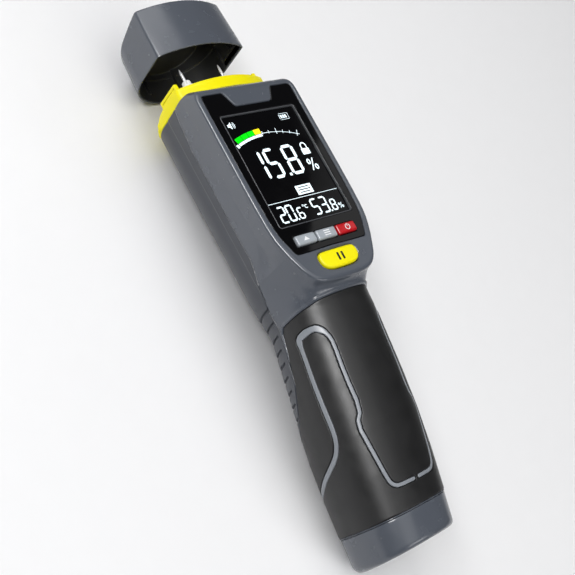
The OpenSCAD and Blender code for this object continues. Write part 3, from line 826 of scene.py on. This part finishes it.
for side, px in (("left", -PIN_X), ("right", PIN_X)):
    lathe(side + "_needle", [(0.6, 1), (0.6, 16.4), (0.55, 16.8), (0.3, 17.9), (0.08, 18.75)], px, PIN_Z,
          STEEL, "meter_body", [side + "_pin"], steps=32)
    lathe(side + "_holder", [(2.3, 8.9), (2.7, 9.1), (2.7, 10.0), (2.2, 10.2), (1.95, 10.3), (1.9, 12.2),
                             (1.5, 12.6), (0.75, 12.65)], px, PIN_Z, WHITE, "meter_body",
          ["pin_holders"], steps=72, flutes=12, depth=0.22)

# ---- CAD nodes that keep their shape ----

KEPT = {"pin_block": DARK_AND_SHADE, "pin_sockets": BRASS, "sensor_vent": DARK_AND_SHADE, "humidity_sensor": BOARD,
        "lcd_panel": SCREEN, "lcd_backlight": WHITE, "lcd_frame": DARK_AND_SHADE, "main_board": BOARD,
        "processor": DARK_AND_SHADE, "key_switches": DARK_AND_SHADE, "buzzer": DARK_AND_SHADE, "board_screws": STEEL,
        "signal_leads": LEAD, "housing_screws": STEEL, "battery_carrier": DARK_AND_SHADE, "batteries": CELL,
        "carrier_contacts": STEEL, "contact_board": BOARD, "power_leads": LEAD,
        "battery_cap_clips": DARK_AND_SHADE, "battery_cap_seal": SEAL}
for node, material in KEPT.items():
    thing = frame["nodes"][node]
    for material_slot in thing.material_slots:
        material_slot.material = material

# ---- marks on the display ----

GLASS = -LENS_SINK - SCREEN_SINK + 0.02


def rect(cx, cy, w, h):
    x0, x1, y0, y1 = cx - w / 2, cx + w / 2, cy - h / 2, cy + h / 2
    return [(x0, y0), (x1, y0), (x1, y1), (x0, y1)]


def rounded_rect(cx, cy, w, h, r):
    corners = [(w / 2 - r, -h / 2 + r, -90), (w / 2 - r, h / 2 - r, 0), (-w / 2 + r, h / 2 - r, 90),
               (-w / 2 + r, -h / 2 + r, 180)]
    return [p for x, y, a in corners for p in arc_points(cx + x, cy + y, r, a, a + 90, 5)]


def bar(ax, ay, bx, by, t):
    """A straight stroke with pointed ends, as a lit segment has."""
    length = math.hypot(bx - ax, by - ay)
    ux, uy = (bx - ax) / length, (by - ay) / length
    nx, ny = -uy * t / 2, ux * t / 2
    cut = t / 2
    return [(ax, ay), (ax + ux * cut + nx, ay + uy * cut + ny), (bx - ux * cut + nx, by - uy * cut + ny),
            (bx, by), (bx - ux * cut - nx, by - uy * cut - ny), (ax + ux * cut - nx, ay + uy * cut - ny)]


SEGMENTS = {"0": "abcdef", "1": "bc", "2": "abged", "3": "abgcd", "5": "afgcd", "6": "afgecd", "8": "abcdefg"}


def digit(figure, cx, cy, w, h, t):
    """The lit segments of one figure."""
    x0, x1, y0, y1 = cx - w / 2, cx + w / 2, cy - h / 2, cy + h / 2
    ends = {"a": (x0, y1, x1, y1), "b": (x1, y1, x1, cy), "c": (x1, cy, x1, y0), "d": (x0, y0, x1, y0),
            "e": (x0, cy, x0, y0), "f": (x0, y1, x0, cy), "g": (x0, cy, x1, cy)}
    shapes = []
    for name in SEGMENTS[figure]:
        ax, ay, bx, by = ends[name]
        length = math.hypot(bx - ax, by - ay)
        ux, uy = (bx - ax) / length * 0.12 * t, (by - ay) / length * 0.12 * t
        shapes.append(bar(ax + ux, ay + uy, bx - ux, by - uy, t))
    return shapes


def ring_band(cx, cy, r0, r1, start, end, count=10):
    return arc_points(cx, cy, r0, start, end, count) + arc_points(cx, cy, r1, end, start, count)


def oval_ring(cx, cy, half_w, half_h, t):
    """Two halves of an upright ring."""
    rings = []
    for start in (0, 180):
        outer = arc_points(0, 0, 1, start, start + 180, 10)
        inner = outer[::-1]
        rings.append([(cx + x * half_w, cy + y * half_h) for x, y in outer]
                     + [(cx + x * (half_w - t), cy + y * (half_h - t)) for x, y in inner])
    return rings


def percent(cx, cy, w, h, t):
    marks = [bar(cx - w * 0.26, cy - h * 0.5, cx + w * 0.26, cy + h * 0.5, t)]
    marks += oval_ring(cx - w * 0.3, cy + h * 0.24, w * 0.2, h * 0.22, t)
    return marks + oval_ring(cx + w * 0.32, cy - h * 0.24, w * 0.2, h * 0.22, t)


panel_print("screen_face", [rounded_rect(0, (SCREEN_LOW + SCREEN_HIGH) / 2, 2 * SCREEN_HALF - 0.1,
                                         SCREEN_HIGH - SCREEN_LOW - 0.1, 0.8)],
            SCREEN, "meter_body", GLASS - 0.015, 0.02)

BIG_T = 1.3
SMALL_T = 0.72
lit = digit("5", -5.2, -39.6, 4.5, 12.2, BIG_T) + digit("8", 4.5, -39.6, 5.2, 12.2, BIG_T)
lit += [bar(-10.1, -33.5, -10.1, -39.3, BIG_T), bar(-10.1, -40.0, -10.1, -45.8, BIG_T)]
lit += [rounded_rect(0.2, -45.7, 1.2, 1.2, 0.3)]
lit += percent(13.1, -43.5, 4.6, 5.8, 0.55)
lit += [rounded_rect(13.3, -37.4, 4.0, 2.7, 0.3), ring_band(13.3, -34.8, 1.05, 1.6, 0, 180)]
lit += [rect(13.3 + side * 1.32, -35.5, 0.55, 1.5) for side in (-1, 1)]
for figure, cx in (("2", -13.9), ("0", -9.8), ("5", 3.2), ("3", 7.7)):
    lit += digit(figure, cx, -61.4, 2.9, 6.6, SMALL_T)
for figure, cx in (("6", -5.2), ("8", 12.3)):
    lit += digit(figure, cx, -62.4, 2.3, 4.5, SMALL_T * 0.85)
lit += [rounded_rect(-7.5, -64.7, 0.7, 0.7, 0.2), rounded_rect(10.1, -64.7, 0.7, 0.7, 0.2)]
lit += oval_ring(-2.6, -59.6, 0.42, 0.42, 0.2) + [ring_band(-1.1, -60.2, 0.55, 0.85, 45, 315)]
lit += percent(15.7, -63.4, 2.4, 2.5, 0.3)
lit += [[(-17.1, -21.0), (-17.1, -19.8), (-16.4, -19.8), (-15.3, -18.8), (-15.3, -22.0), (-16.4, -21.0)]]
lit += [ring_band(-15.5, -20.4, 0.95 + 0.7 * i, 1.2 + 0.7 * i, -48, 48) for i in range(2)]
lit += [[(10.3 + 1.15 * i, -21.1), (11.1 + 1.15 * i, -21.1), (10.9 + 1.15 * i, -19.6),
         (10.1 + 1.15 * i, -19.6)] for i in range(3)]
lit += [rounded_rect(2.4, -53.1, 8.0, 4.0, 0.3)]
panel_print("lit_marks", lit, LIT, "meter_body", GLASS + 0.01)

# The curved scale: green and yellow steps over a white strip, then a fine line with ticks
GAUGE_X = -1.8
GAUGE_R = 42.0
GAUGE_Y = -26.0 - GAUGE_R


def gauge_band(x0, x1, low, high):
    """Part of the curved scale, between two places across the screen."""
    start, end = (90 - math.degrees(math.asin((x - GAUGE_X) / GAUGE_R)) for x in (x1, x0))
    return ring_band(GAUGE_X, GAUGE_Y, GAUGE_R + low, GAUGE_R + high, start, end, 4)


STEP = 3.35
steps = [(-16.5 + STEP * i, -16.5 + STEP * (i + 1) - 0.22) for i in range(4)]
panel_print("scale_green", [gauge_band(x0, x1, 0.1, 2.3) for x0, x1 in steps[:3]], LIT_GREEN,
            "meter_body", GLASS + 0.01)
panel_print("scale_yellow", [gauge_band(*steps[3], 0.1, 2.3)], LIT_YELLOW, "meter_body", GLASS + 0.01)
scale = [gauge_band(x0, x1, -1.25, -0.15) for x0, x1 in steps] + [gauge_band(-18.0, -16.9, -1.5, 0.0)]
scale += [gauge_band(-3.2, 14.9, -0.1, 0.1)]
for index, tick in enumerate((-2.8, 0.5, 4.2, 7.3, 10.5, 13.8)):
    rise = 1.7 if index in (2, 5) else 0.9
    scale.append(gauge_band(tick - 0.1, tick + 0.1, -rise * 0.6, rise))
scale += [rect(0, -56.1, 36.2, 0.2)]
scale += [rect(12.0, -18.95, 4.4, 0.14), rect(12.0, -21.75, 4.4, 0.14), rect(9.6, -20.35, 0.22, 2.0),
          rect(14.3, -20.35, 0.14, 2.8)]
panel_print("scale_marks", scale, LIT, "meter_body", GLASS + 0.01)
grain_lines = [rect(2.4, -53.1 + dy, 6.2 - abs(dy), 0.4) for dy in (-1.1, 0, 1.1)]
panel_print("grain_symbol", grain_lines, SCREEN, "meter_body", GLASS + 0.055, 0.02)

# ---- symbols on the keys ----

TOP = 0.8
panel_print("left_key_mark", [[(-12.4, KEY_ROW - 0.7), (-9.6, KEY_ROW - 0.7), (-11.0, KEY_ROW + 0.9)]],
            MARK_WHITE, "left_key", TOP - 0.16, 0.2)
panel_print("middle_key_mark", [rect(0, KEY_ROW + dy, 3.0, 0.4) for dy in (-0.9, 0, 0.9)],
            MARK_WHITE, "middle_key", TOP - 0.16, 0.2)
panel_print("power_mark", [ring_band(11.0, KEY_ROW, 0.95, 1.25, -240, 60, 16),
                           rect(11.0, KEY_ROW + 0.8, 0.3, 1.3)],
            MARK_WHITE, "power_key", TOP - 0.16, 0.2)
panel_print("hold_mark", [rect(-1.1, HOLD_Y, 1.0, 3.2), rect(1.1, HOLD_Y, 1.0, 3.2)],
            MARK_BLACK, "hold_button", HOLD_TOP - 0.1, 0.12)

# ---- stage ----

FLOOR = moulded("pale_floor", (0.93, 0.93, 0.94, 1.0), 0.6, grain=300.0, bump=0.02, tint=0.01)


def stage():
    mesh = bpy.data.meshes.new("floor")
    half = 3.0
    corners = [(-half, -half, 0), (half, -half, 0), (half, half, 0), (-half, half, 0)]
    mesh.from_pydata(corners, [], [(0, 1, 2, 3)])
    floor = bpy.data.objects.new("floor", mesh)
    floor.location.z = -0.0004
    mesh.materials.append(FLOOR)
    bpy.context.scene.collection.objects.link(floor)


def area_light(name, at, aim, size, power, roll=0.0, shine_only=False):
    data = bpy.data.lights.new(name, "AREA")
    data.shape = "RECTANGLE"
    data.size, data.size_y = size
    data.energy = power
    lamp = bpy.data.objects.new(name, data)
    lamp.location = at
    lamp.visible_diffuse = not shine_only
    turn = (Vector(aim) - Vector(at)).to_track_quat("-Z", "Y").to_matrix()
    lamp.rotation_euler = (turn @ Matrix.Rotation(math.radians(roll), 3, "Z")).to_euler()
    bpy.context.scene.collection.objects.link(lamp)


CAMERA_AT = Vector((-268.2, -174.0, 293.0))
CAMERA_FORWARD = Vector((0.6294, 0.2235, -0.7442))
CAMERA_UP = Vector((0.2382, 0.8561, 0.4586))


def camera():
    data = bpy.data.cameras.new("camera")
    data.sensor_width = 36.0
    data.lens = 65.65
    data.clip_start = 0.01
    eye = bpy.data.objects.new("camera", data)
    forward = TURN @ CAMERA_FORWARD.normalized()
    right = forward.cross(TURN @ CAMERA_UP).normalized()
    up = right.cross(forward)
    turn = Matrix((right, up, -forward)).transposed().to_4x4()
    eye.matrix_world = Matrix.Translation(Vector(place([CAMERA_AT])[0])) @ turn
    bpy.context.scene.collection.objects.link(eye)
    bpy.context.scene.camera = eye


stage()
camera()
bpy.context.scene.view_settings.view_transform = "Standard"
world = bpy.data.worlds.new("studio")
world.use_nodes = True
world.node_tree.nodes["Background"].inputs["Color"].default_value = (1, 1, 1, 1)
world.node_tree.nodes["Background"].inputs["Strength"].default_value = 0.06
bpy.context.scene.world = world
AIM = (0, 0, 0.03)
area_light("key_light", (-0.64, 0.27, 0.78), (0, 0.27, 0.03), (0.95, 0.2), 4.2)
area_light("edge_glint", (-0.66, 0.2, 0.8), (0, 0.2, 0.03), (1.1, 0.26), 19.0, shine_only=True)
area_light("top_light", (-0.1, -0.1, 1.1), AIM, (1.2, 1.2), 6.4)
area_light("front_light", (0.2, -0.8, 0.5), AIM, (0.5, 0.3), 2.2)
area_light("back_light", (-0.1, 0.75, 0.6), AIM, (0.6, 0.4), 2.5)
area_light("lens_glare", (0.792, 0.264, 0.649), (0.113, -0.061, -0.01), (0.5, 0.34), 0.33, roll=-55.0)
